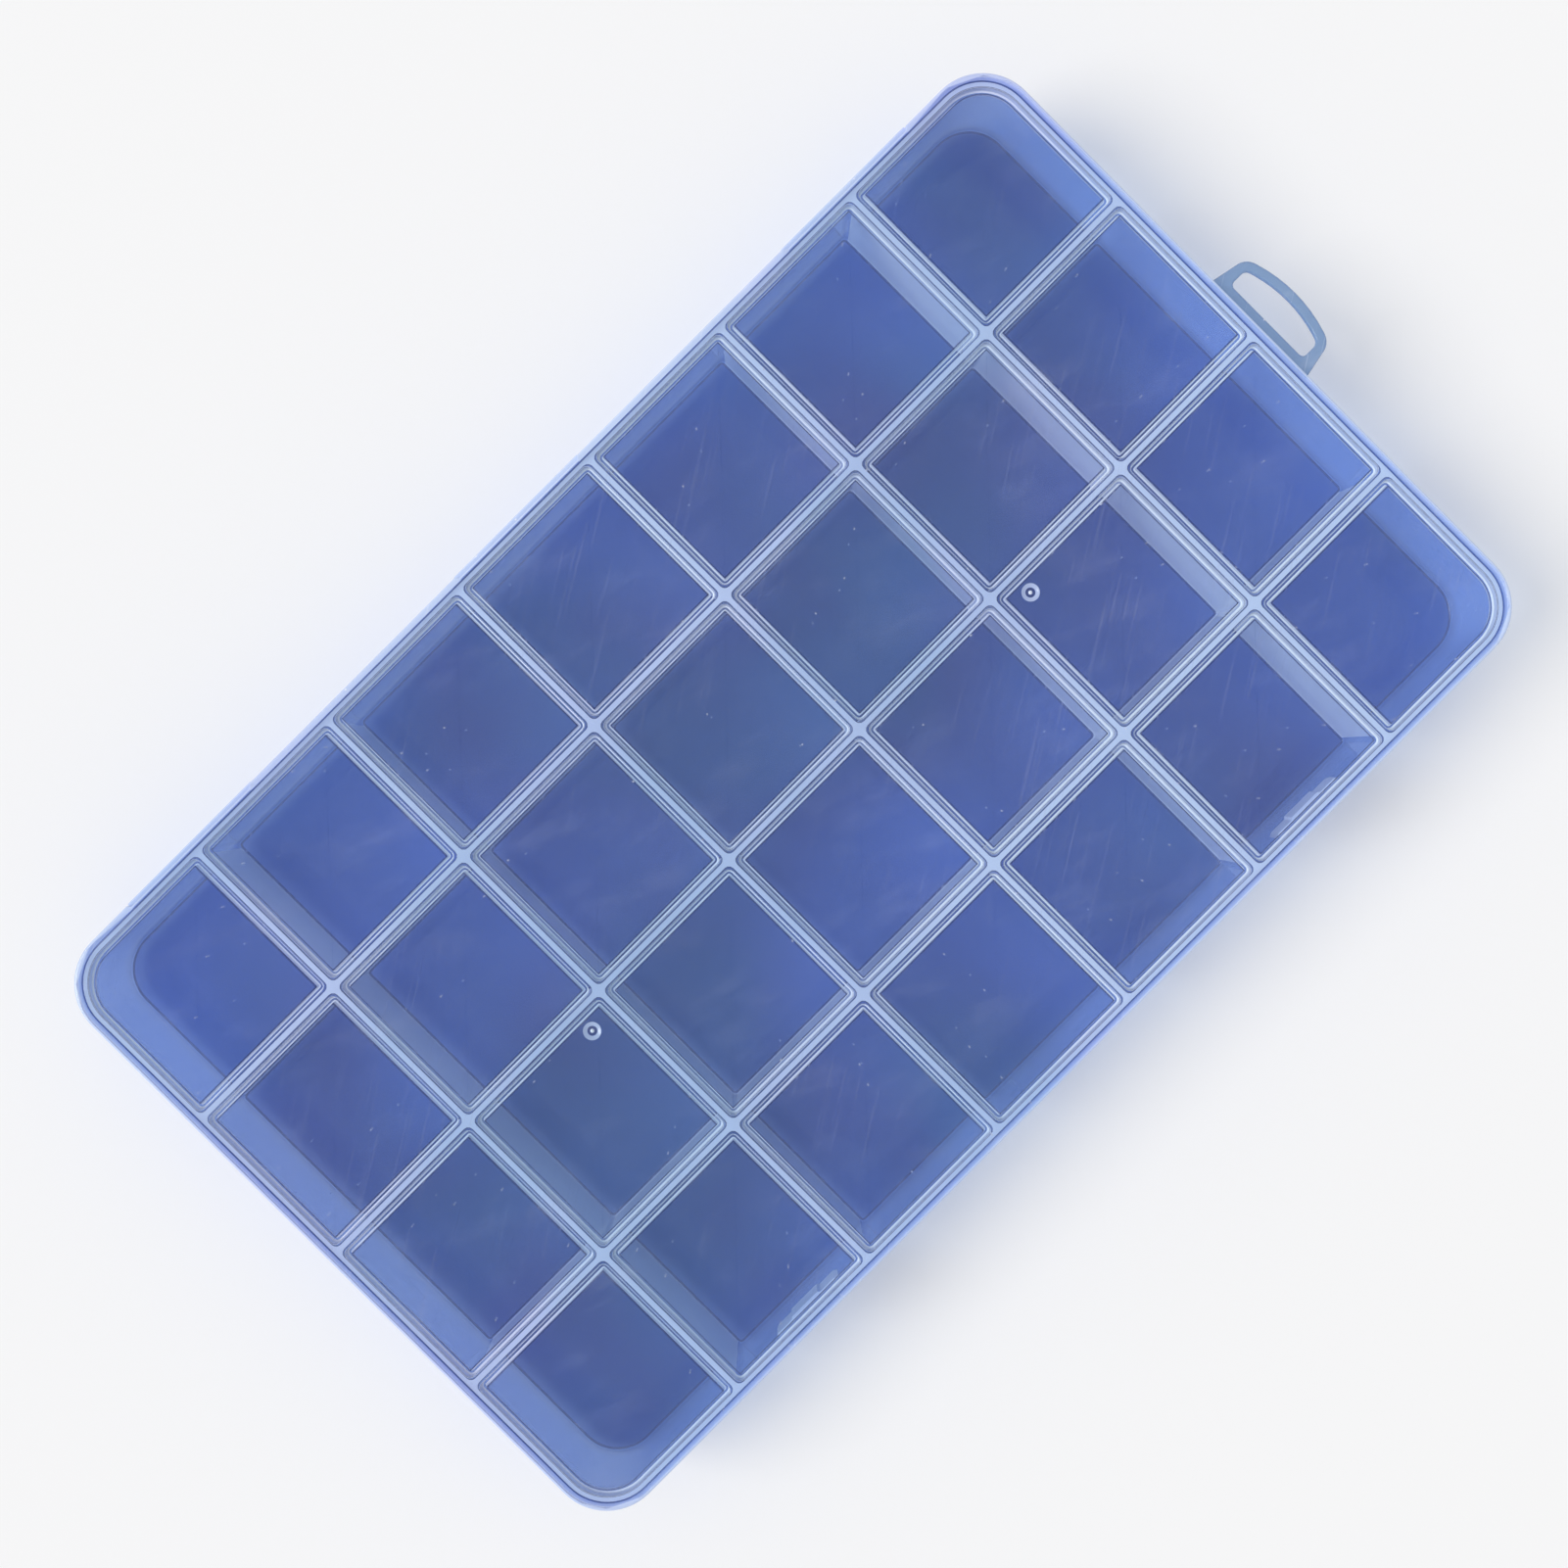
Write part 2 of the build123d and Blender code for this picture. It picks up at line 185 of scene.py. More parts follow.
class BoxSizes(bpy.types.PropertyGroup):
    """Roundings and small details that the frame leaves to the looks."""

    def size(name, description, millimetres):
        return FloatProperty(
            name=name, description=description, default=millimetres * MM, unit="LENGTH", subtype="DISTANCE"
        )

    lip_round: size("Lip rounding", "Radius on top of walls and dividers", 0.15)
    pocket_corner: size("Compartment corner", "Upright corner radius inside a compartment", 0.9)
    pocket_foot: size("Compartment foot", "Radius between a compartment's floor and its walls", 0.5)
    pocket_draft: size("Compartment draft", "How much each side of a compartment leans in", 0.1)
    foot_round: size("Foot rounding", "Radius round the underside of the tray", 0.8)
    rim_round: size("Rim rounding", "Radius on the outer edges of the tray's rim", 0.25)
    notch_gap: size("Notch gap", "Gap between a snap tongue and its notch in the rim", 0.3)
    notch_slope: size("Notch slope", "Slope at the ends of a notch", 0.04)
    station_set_in: size("Hinge recess", "How far the lid stands back at a hinge station", 0.6)
    skirt_width: size("Skirt width", "Thickness of the lid's skirt", 0.9)
    skirt_round: size("Skirt rounding", "Radius on the lower edges of the skirt", 0.15)
    panel_round: size("Lid edge rounding", "Radius round the top of the lid", 0.5)
    rib_width: size("Rib width", "Thickness of the rings under the lid", 0.95)
    rib_divider_gap: size("Rib gap", "Gap between a ring and the dividers round it", 0.3)
    rib_corner: size("Rib corner", "Outer corner radius of a ring", 1.0)
    rib_draft: size("Rib draft", "How much a ring's sides lean in towards its tip", 0.06)
    rib_tip_round: size("Rib tip rounding", "Radius on the tip of a ring", 0.25)
    rib_root_round: size("Rib root rounding", "Radius where a ring's outside meets the lid", 0.1)
    rib_inner_round: size("Rib inner rounding", "Radius where a ring's inside meets the lid", 0.25)
    gate_offset_x: size("Gate mark along", "How far each gate mark lies from the middle, along the box", 51.7)
    gate_offset_y: size("Gate mark across", "How far the gate marks lie from the middle, to the latches", 4.0)
    gate_diameter: size("Gate mark", "Diameter of the round moulding marks on the lid", 3.1)
    gate_depth: size("Gate depth", "Depth of the moulding marks", 0.3)
    gate_slope: size("Gate slope", "Width of the sloping edge of the moulding marks", 0.7)
    gate_nub: size("Gate nub", "Diameter of the nub left in the middle of each mark", 0.7)
    gate_nub_height: size("Gate nub height", "Height of that nub", 0.2)
    tongue_corner: size("Tongue corner", "Radius of the lower corners of a snap tongue", 2.5)
    tongue_round: size("Tongue rounding", "Radius on the edges of a snap tongue", 0.2)
    recess_taper: size("Recess taper", "How much a latch recess narrows to its back, each side", 0.8)
    recess_step: size("Recess middle depth", "How much deeper the middle of a latch recess is", 0.35)
    recess_middle: size("Recess middle", "Length of the deeper middle of a latch recess", 6.8)
    recess_depth: size("Recess depth", "How deep a latch recess goes into the wall at its ends", 0.7)
    catch_bulge: size("Catch bulge", "How far a catch stands into its compartment at its ends", 0.45)
    catch_rise: size("Catch rise", "How much higher a catch starts than its solid in the frame", 3.4)
    loop_tip_width: size("Loop tip width", "Width of the hanging loop at its tip", 19.9)
    loop_bow: size("Loop bow", "How far the loop's tip bows out", 1.9)
    loop_bar: size("Loop bar", "Width of the bar between the rim and the hole", 2.1)
    loop_hole_width: size("Loop hole width", "Width of the hanging hole", 17.2)
    loop_hole_side: size("Loop hole side", "Length of the hole's straight sides", 3.6)
    loop_hole_bow: size("Loop hole bow", "How far the hole bows out", 1.5)
    loop_corner: size("Loop corner", "Outer corner radius of the loop", 1.5)
    loop_hole_corner: size("Loop hole corner", "Corner radius of the hole", 0.9)
    loop_round: size("Loop rounding", "Radius on the edges of the loop", 0.3)
    hook_width: size("Hook width", "Width of the hook behind a snap tongue", 9.0)
    hook_height: size("Hook height", "Height of that hook", 1.6)
    hook_gap: size("Hook gap", "Gap above the hook in its recess", 0.1)
    hook_round: size("Hook rounding", "Width of the rounded edges of a hook", 0.08)
    strap_ear: size("Hinge strap ear", "How far a hinge strap reaches into tray and lid", 0.3)
    strap_thickness: size("Hinge strap", "Thickness of the living hinge", 0.2)
    strap_trim: size("Hinge strap trim", "How much smaller a strap is than its place, all round", 0.01)


class BoxColours(bpy.types.PropertyGroup):
    """Colours of the clear plastic, as linear values."""

    def colour(name, description, red, green, blue):
        return FloatVectorProperty(
            name=name, description=description, default=(red, green, blue), subtype="COLOR", min=0, max=1
        )

    lid_tint: colour("Lid tint", "What one surface of the lid lets through", 0.90, 0.94, 1.0)
    tray_tint: colour("Tray tint", "What one surface of the tray's floor lets through", 0.655, 0.74, 0.87)
    side_tint: colour("Outer wall tint", "What one surface of the outer walls lets through", 0.72, 0.82, 0.97)
    haze: colour("Haze", "Colour that flat sheets scatter back", 0.06, 0.11, 0.38)
    wall: colour("Dividers", "Colour that the sides of dividers and ribs scatter back", 0.82, 0.89, 1.0)
    side: colour("Outer walls", "Colour that the outer walls scatter back", 0.30, 0.46, 0.90)
    band: colour("Bands", "Colour of the tops of dividers and walls", 0.78, 0.86, 1.0)
    rim: colour("Rim", "Colour of the rim and of the lid's border over it", 0.58, 0.70, 1.0)
    # edge is a painted highlight: the near-white colour given to thin rounded edges in place of the light
    # they catch
    edge: colour("Edges", "Colour of the thin edges that catch the light", 0.86, 0.92, 1.0)
    # deep is painted shade: the near-black blue of the thin lines where walls meet sheets
    deep: colour("Deep lines", "Colour of the thin lines where walls meet sheets", 0.02, 0.04, 0.17)
    line: colour("Rim lines", "Colour of the thin lines in the rim", 0.19, 0.31, 0.66)
    # line is painted shade: the dark blue of the thin line at the skirt's inner edge, in the rim
    loop: colour("Loop", "Colour of the hanging loop", 0.24, 0.36, 0.56)
    loop_tint: colour("Loop tint", "What one surface of the loop lets through", 0.62, 0.74, 0.88)


class StageSettings(bpy.types.PropertyGroup):
    """Floor, lamps and camera."""

    def number(name, description, default, **kind):
        return FloatProperty(name=name, description=description, default=default, **kind)

    def angle(name, description, degrees):
        kind = {"unit": "ROTATION", "subtype": "ANGLE"}
        return FloatProperty(name=name, description=description, default=math.radians(degrees), **kind)

    def vector(name, description, default, **kind):
        return FloatVectorProperty(name=name, description=description, default=default, **kind)

    floor_colour: vector("Floor", "Colour of the floor", (0.93, 0.93, 0.935), subtype="COLOR", min=0, max=1)
    floor_reach: number("Floor reach", "How far the floor reaches each way", 20, unit="LENGTH")
    floor_gap: number(
        "Floor gap",
        "How far the floor lies under the box, so that the two faces never coincide",
        0.2 * MM,
        unit="LENGTH",
        subtype="DISTANCE",
    )
    backdrop: number("Backdrop", "Brightness of the far background", 0.92, min=0)
    sky_strength: number("Sky", "Strength of the soft light all round", 0.55, min=0)
    key_power: number("Key lamp", "Strength of the large soft lamp", 2.12, min=0)
    key_place: vector(
        "Key lamp place",
        "Where the light of the large lamp comes from",
        (-1.5, 1.1, 1.7),
        subtype="TRANSLATION",
        unit="LENGTH",
    )
    key_width: angle("Key lamp width", "How wide the large lamp looks from the box", 32)
    camera_place: vector(
        "Camera place",
        "Where the camera stands above the box",
        (1.01 * MM, 6.60 * MM, 323.47 * MM),
        subtype="TRANSLATION",
        unit="LENGTH",
    )
    camera_lean: vector(
        "Camera lean",
        "Small turns of the camera from looking straight down",
        tuple(math.radians(degrees) for degrees in (-0.68, -0.426, -0.018)),
        subtype="EULER",
    )
    camera_turn: angle("Camera turn", "How far the picture is turned about the upright axis", -45)
    camera_lens: number("Lens", "Focal length in millimetres on the sensor", 41.4)
    camera_sensor: number("Sensor", "Width of the sensor in millimetres", 36)


def sizes():
    return bpy.context.scene.box_sizes


def colours():
    return bpy.context.scene.box_colours


def quarter(centre, radius, start, end, steps=ARC_STEPS):
    """Levels along an arc in section: centre is how far out and how high, angles are in degrees."""
    angles = [math.radians(start + (end - start) * i / steps) for i in range(steps + 1)]
    return [(centre[0] + radius * math.cos(a), centre[1] + radius * math.sin(a)) for a in angles]


def round_corner(bm, vert, radius, steps):
    """Rounds one corner of a flat face."""
    bmesh.ops.bevel(
        bm, geom=[vert], affect="VERTICES", offset=radius, segments=steps, profile=0.5, material=-1
    )


def newest_face(bm, known):
    """The face that isn't among those known before."""
    return next(face for face in bm.faces if face not in known)


def plan_rectangle(bm, low, high, radius, big_corner=None, big_radius=0.0, marks=(), round_low=0.0):
    """A flat face with rounded corners. marks adds points to its long sides: (side, x), side -1 in front."""
    known = set(bm.faces)
    centre, size = (low + high) / 2, high - low
    place = Matrix.Translation((centre.x, centre.y, 0)) @ Matrix.Diagonal((size.x, size.y, 1, 1))
    corners = bmesh.ops.create_grid(bm, x_segments=1, y_segments=1, size=0.5, matrix=place)["verts"]
    for vert in corners:
        sign = (vert.co.x > centre.x, vert.co.y > centre.y)
        if sign == big_corner:
            round_corner(bm, vert, big_radius, LARGE_CORNER_STEPS)
        elif round_low and not sign[1]:
            round_corner(bm, vert, round_low, TONGUE_CORNER_STEPS)
        else:
            steps = LARGE_CORNER_STEPS if radius > LARGE_RADIUS else SMALL_CORNER_STEPS
            round_corner(bm, vert, radius, steps)
    face = newest_face(bm, known)
    for side, x in marks:
        y = high.y if side > 0 else low.y
        level = [e for e in face.edges if all(abs(v.co.y - y) < SAME for v in e.verts)]
        edge = next(e for e in level if (e.verts[0].co.x - x) * (e.verts[1].co.x - x) < 0)
        start, end = (v.co.x for v in edge.verts)
        bmesh.utils.edge_split(edge, edge.verts[0], (x - start) / (end - start))
    return face


class Ring:
    """A closed line in plan that is drawn through levels into a wall.

    A level is how far out the line lies from its plan, and how high."""

    def __init__(self, bm, face, start):
        self.bm = bm
        self.verts = list(face.verts)
        self.plan = [v.co.xy for v in self.verts]
        around = zip(self.plan[-1:] + self.plan[:-1], self.plan, self.plan[1:] + self.plan[:1])
        self.out = []
        for before, here, after in around:
            first, second = ((b - a).normalized() for a, b in ((before, here), (here, after)))
            first, second = Vector((first.y, -first.x)), Vector((second.y, -second.x))
            self.out.append((first + second) / (1 + first.dot(second)))
        if face.normal.z < 0:
            self.out = [-v for v in self.out]
        bmesh.ops.delete(bm, geom=[face], context="FACES_ONLY")
        self.put(start, {}, None)
        self.first = self.edges()

    def edges(self):
        """The edges of the line where it is now."""
        pairs = zip(self.verts, self.verts[1:] + self.verts[:1])
        return [self.bm.edges.get(pair) for pair in pairs]

    def put(self, level, set_in, least):
        """Moves the line's points to a level."""
        out, height = level
        for i, vert in enumerate(self.verts):
            reach = out - set_in.get(i, 0)
            if least is not None and reach < least:
                reach = min(out, least)
            place = self.plan[i] + self.out[i] * reach
            vert.co = (place.x, place.y, height)

    def draw(self, levels, set_in=None, least=None):
        """Draws the wall on through more levels.

        set_in holds points back, by their number, but not past least."""
        for level in levels:
            before = set(self.verts)
            made = bmesh.ops.extrude_edge_only(self.bm, edges=self.edges())["geom"]
            fresh = {}
            for vert in (g for g in made if isinstance(g, bmesh.types.BMVert)):
                for edge in vert.link_edges:
                    if edge.other_vert(vert) in before:
                        fresh[edge.other_vert(vert)] = vert
            self.verts = [fresh[v] for v in self.verts]
            self.put(level, set_in or {}, least)

    def within(self, side, low, high):
        """Numbers of the points on one long side between two places along the box."""
        return [i for i, p in enumerate(self.plan) if p.y * side > 0 and low <= p.x <= high]

    def close(self):
        """Closes the wall's end with one flat face."""
        bmesh.ops.contextual_create(self.bm, geom=self.edges())


def fill_between(bm, rings_edges):
    """Fills a flat area that has holes."""
    bmesh.ops.triangle_fill(bm, use_beauty=True, edges=rings_edges)


def as_object(bm, name, sharp=35):
    """Makes a closed shell an object, smooth except at its sharp edges."""
    bmesh.ops.recalc_face_normals(bm, faces=bm.faces)
    mesh = bpy.data.meshes.new(name)
    bm.to_mesh(mesh)
    bm.free()
    mesh.shade_smooth()
    mesh.set_sharp_from_angle(angle=math.radians(sharp))
    obj = bpy.data.objects.new(name, mesh)
    bpy.context.scene.collection.objects.link(obj)
    return obj


def combined(obj, other, operation):
    """obj joined with or cut by other, which goes."""
    change = obj.modifiers.new(operation.title(), "BOOLEAN")
    change.object = other
    change.operation = operation
    change.solver = "EXACT"
    bpy.context.view_layer.update()
    finished = bpy.data.meshes.new_from_object(obj.evaluated_get(bpy.context.evaluated_depsgraph_get()))
    obj.modifiers.clear()
    obj.data = finished
    bpy.data.objects.remove(other)
    return obj


def even_shading(obj):
    """Keeps flat faces flat beside their rounded edges."""
    even = obj.modifiers.new("Even shading", "WEIGHTED_NORMAL")
    even.keep_sharp = True
    even.weight = 80


def compartment_corner(column, row):
    """Which corner of a compartment lies in a corner of the box, or None."""
    if column in (0, len(COLUMN_CELLS) - 1) and row in (0, len(ROW_CELLS) - 1):
        return (column > 0, row > 0)
    return None


def each_compartment():
    """Low and high corner in plan of each compartment, and which of its corners follows the box's own."""
    for column, (x_low, x_high) in enumerate(COLUMN_CELLS):
        for row, (y_low, y_high) in enumerate(ROW_CELLS):
            yield Vector((x_low, y_low)), Vector((x_high, y_high)), compartment_corner(column, row)


def beyond(place, low, high, radius):
    """How far a place lies outside a rectangle with rounded corners. Inside, it is negative."""
    across = abs(place.x - (low.x + high.x) / 2) - (high.x - low.x) / 2 + radius
    along = abs(place.y - (low.y + high.y) / 2) - (high.y - low.y) / 2 + radius
    return math.hypot(max(across, 0), max(along, 0)) + min(max(across, along), 0) - radius


def beyond_walls(place):
    """Whether a place lies outside the tray's outer walls, on its rim or on the lid's border."""
    return beyond(place, WALL_LOW, WALL_HIGH, WALL_RADIUS) > 5 * HAIR


def near_outer_wall(place):
    """Whether a place is on the outer walls rather than among the dividers."""
    return beyond(place, INNER_LOW, INNER_HIGH, INNER_RADIUS) > -sizes().pocket_corner


def in_catch(place):
    """Whether a place is on one of the catches that bulge from the front wall behind the latches."""
    for name in nodes_named("latch_catch"):
        low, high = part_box(name)
        if low.x < place.x < high.x and low.z - HAIR < place.z < high.z + HAIR:
            return INNER_LOW.y + 2 * sizes().pocket_draft < place.y < high.y + HAIR
    return False


def station_marks():
    """Points of the back at which the hinge stations and their slopes start and end."""
    slope = sizes().station_set_in
    return [(1, x) for low, high in STATIONS.values() for x in (low, low + slope, high - slope, high)]


def notch_ends():
    """Start and end of each latch's notch in the rim."""
    gap = sizes().notch_gap
    return [(low - gap, high + gap) for low, high in LATCHES.values()]


def set_in_stations(ring):
    """The points of a ring that stand back at the hinge stations."""
    depth = sizes().station_set_in
    slope = depth / 2
    points = [i for low, high in STATIONS.values() for i in ring.within(1, low + slope, high - slope)]
    return {i: depth for i in points}


def build_tray_walls(bm):
    """Outside of the tray from the top of its walls round the rim down to the underside."""
    s = sizes()
    slope = s.notch_slope
    marks = station_marks()
    marks += [(-1, x) for low, high in notch_ends() for x in (low - slope, low, high, high + slope)]
    face = plan_rectangle(bm, WALL_LOW, WALL_HIGH, WALL_RADIUS, marks=marks)
    lip, edge, foot = s.lip_round, s.rim_round, s.foot_round
    rim = LID_HIGH.x - WALL_HIGH.x
    ring = Ring(bm, face, (-lip, TRAY_TOP))
    half = slope / 2
    notches = {i: rim for low, high in notch_ends() for i in ring.within(-1, low - half, high + half)}
    leaves = set_in_stations(ring)
    ring.draw(quarter((-lip, TRAY_TOP - lip), lip, 90, 0)[1:] + [(0, RIM_TOP)])
    upper = quarter((rim - edge, RIM_TOP - edge), edge, 90, 0)
    leaf_low = RIM_TOP - (PANEL_LOW - SKIRT_LOW)
    ring.draw(upper + [(rim, leaf_low)], notches, 0)
    ring.draw([(rim, leaf_low)], {**notches, **leaves}, 0)
    ring.draw(quarter((rim - edge, RIM_LOW + edge), edge, 0, -90), {**notches, **leaves}, 0)
    ring.draw([(0, RIM_LOW)])
    ring.draw(quarter((-foot, foot), foot, 0, -90, WIDE_ARC_STEPS))
    ring.close()
    return ring.first


def build_compartments(bm):
    """The pockets of the tray, with rounded lips and feet. Gives the edges of their mouths."""
    s = sizes()
    lip, foot, draft = s.lip_round, s.pocket_foot, s.pocket_draft
    mouths = []
    for low, high, big_corner in each_compartment():
        face = plan_rectangle(bm, low, high, s.pocket_corner, big_corner, INNER_RADIUS)
        ring = Ring(bm, face, (lip, TRAY_TOP))
        mouths += ring.first
        ring.draw(quarter((lip, TRAY_TOP - lip), lip, 90, 180)[1:])
        ring.draw(quarter((-draft - foot, FLOOR_TOP + foot), foot, 0, -90, POCKET_ARC_STEPS))
        ring.close()
    return mouths


def prism(points, low, high, name):
    """An upright closed block over an outline in plan."""
    bm = bmesh.new()
    face = bm.faces.new([bm.verts.new((x, y, low)) for x, y in points])
    made = bmesh.ops.extrude_face_region(bm, geom=[face])["geom"]
    top = [g for g in made if isinstance(g, bmesh.types.BMVert)]
    bmesh.ops.translate(bm, verts=top, vec=(0, 0, high - low))
    return as_object(bm, name)


def recess_outline(x, half, y_face, depth, y_start):
    """Plan of a latch recess or of the catch that bulges behind it, deeper in its middle."""
    s = sizes()
    mid = s.recess_middle / 2
    right = [
        (half, y_start),
        (half, y_face),
        (half - s.recess_taper, y_face + depth),
        (mid, y_face + depth),
        (mid - s.recess_step, y_face + depth + s.recess_step),
    ]
    return [(x + dx, y) for dx, y in right] + [(x - dx, y) for dx, y in reversed(right)]


def add_catches(tray):
    """Joins the catch of each latch to the tray, and cuts the recess that its hook snaps into."""
    s = sizes()
    wall = INNER_LOW.y - WALL_LOW.y
    for name in nodes_named("latch_catch"):
        x = middle(name).x
        low, high = span(name, Z)
        low += s.catch_rise
        half = (span(name, X)[1] - span(name, X)[0]) / 2
        bulge = recess_outline(x, half, INNER_LOW.y, s.catch_bulge, INNER_LOW.y - wall / 2)
        combined(tray, prism(bulge, low, high, "bulge"), "UNION")
        recess = recess_outline(x, half - wall, WALL_LOW.y, s.recess_depth, WALL_LOW.y - wall / 2)
        combined(tray, prism(recess, low + wall, high - wall, "recess"), "DIFFERENCE")


def bowed_plate(bm, start_x, side_x, half_start, half_end, bow, corner, inner_corner):
    """A flat face in plan with straight sides and an end that bows out."""
    known = set(bm.faces)
    outline = [(start_x, -half_start), (side_x, -half_end), (side_x, half_end), (start_x, half_start)]
    verts = [bm.verts.new((x, y, 0)) for x, y in outline]
    bm.faces.new(verts)
    point = verts[1]
    for left in range(BOW_STEPS, 1, -1):
        edge = bm.edges.get((point, verts[2]))
        point = bmesh.utils.edge_split(edge, point, 1 / left)[1]
        point.co.x = side_x + bow * (1 - (point.co.y / half_end) ** 2)
    corners = [(verts[1], corner), (verts[2], corner)]
    if inner_corner:
        corners += [(verts[0], inner_corner), (verts[3], inner_corner)]
    for vert, radius in corners:
        round_corner(bm, vert, radius, LOOP_CORNER_STEPS)
    return newest_face(bm, known)


def hanging_loop():
    """Bowed loop with rounded edges. It starts half a rim's width inside the rim, so that the two join."""
    s = sizes()
    low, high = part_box("hang_loop")
    bm = bmesh.new()
    edge = s.loop_round
    inside = (LID_HIGH.x - WALL_HIGH.x) / 2
    half_base = (high.y - low.y) / 2
    lean = (half_base - s.loop_tip_width / 2) / (high.x - low.x - s.loop_bow)
    start, half = low.x - inside, half_base + lean * inside
    side, half_tip = high.x - s.loop_bow, s.loop_tip_width / 2
    outer = bowed_plate(bm, start, side, half, half_tip, s.loop_bow, s.loop_corner, 0)
    outer = Ring(bm, outer, (-edge, high.z))
    start, half = low.x + s.loop_bar, s.loop_hole_width / 2
    side, corner = start + s.loop_hole_side, s.loop_hole_corner
    hole = bowed_plate(bm, start, side, half, half, s.loop_hole_bow, corner, corner)
    hole = Ring(bm, hole, (edge, high.z))
    fill_between(bm, outer.first + hole.first)
    outer.draw(quarter((-edge, high.z - edge), edge, 90, 0)[1:])
    outer.draw(quarter((-edge, low.z + edge), edge, 0, -90))
    hole.draw(quarter((edge, high.z - edge), edge, 90, 180)[1:])
    hole.draw(quarter((edge, low.z + edge), edge, 180, 270))
    fill_between(bm, outer.edges() + hole.edges())
    return as_object(bm, "hanging_loop")


class BOX_OT_tray(bpy.types.Operator):
    """Build the tray: floor, walls, dividers, rim, catches and hanging loop in one shell"""

    bl_idname = "box.tray"
    bl_label = "Tray"

    def execute(self, context):
        bm = bmesh.new()
        top = build_tray_walls(bm) + build_compartments(bm)
        fill_between(bm, top)
        tray = as_object(bm, "tray_shell")
        add_catches(tray)
        combined(tray, hanging_loop(), "UNION")
        even_shading(tray)
        foot = FLOOR_TOP + 20 * HAIR
        paint(
            tray,
            plastics("tray_sheet", colours().tray_tint, cover=0.2, spread=0.6),
            # Painted shade: the lowest faces of each compartment's foot, in the crease at the floor, get the
            # dark line slot
            (PAINTED_SHADE_LINE, lambda at, way: at.z > FLOOR_TOP + HAIR / 2),
            (WALL, lambda at, way: at.z > foot),
            (SIDE, lambda at, way: at.z > foot and near_outer_wall(at)),
            (BAND, lambda at, way: in_catch(at)),
            # Painted shade: the rounded lips beside the tops of walls and dividers get the dark line slot
            (PAINTED_SHADE_LINE, lambda at, way: at.z > TRAY_TOP - sizes().lip_round),
            (BAND, lambda at, way: at.z > TRAY_TOP - HAIR),
            (RIM, lambda at, way: beyond_walls(at)),
            # Painted highlight: the downward-slanting rounded edges of the rim get the near-white edge slot
            (PAINTED_GLINT, lambda at, way: beyond_walls(at) and slanting(-way.z)),
            (LOOP, lambda at, way: at.x > LID_HIGH.x),
        )
        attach(tray, "tray")
        on_tray = [name for name, node in frame["nodes"].items() if node["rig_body"] == "tray"]
        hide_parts(*[name for name in on_tray if name not in STATIONS])
        return {"FINISHED"}


def gate_mark(bm, x, y):
    """A shallow round mark with a nub in its middle, sunk into the top of the lid. Gives its edge."""
    s = sizes()
    known = set(bm.faces)
    place = Matrix.Translation((x, y, LID_TOP))
    radius = s.gate_diameter / 2
    bmesh.ops.create_circle(bm, cap_ends=True, segments=GATE_SEGMENTS, radius=radius, matrix=place)
    ring = Ring(bm, newest_face(bm, known), (0, LID_TOP))
    floor = LID_TOP - s.gate_depth
    nub = s.gate_nub / 2 - radius
    ring.draw([(-s.gate_slope / 3, LID_TOP - s.gate_depth / 2), (-s.gate_slope, floor)])
    ring.draw([(nub, floor), (nub - s.gate_slope / 3, floor + s.gate_nub_height)])
    ring.close()
    return ring.first


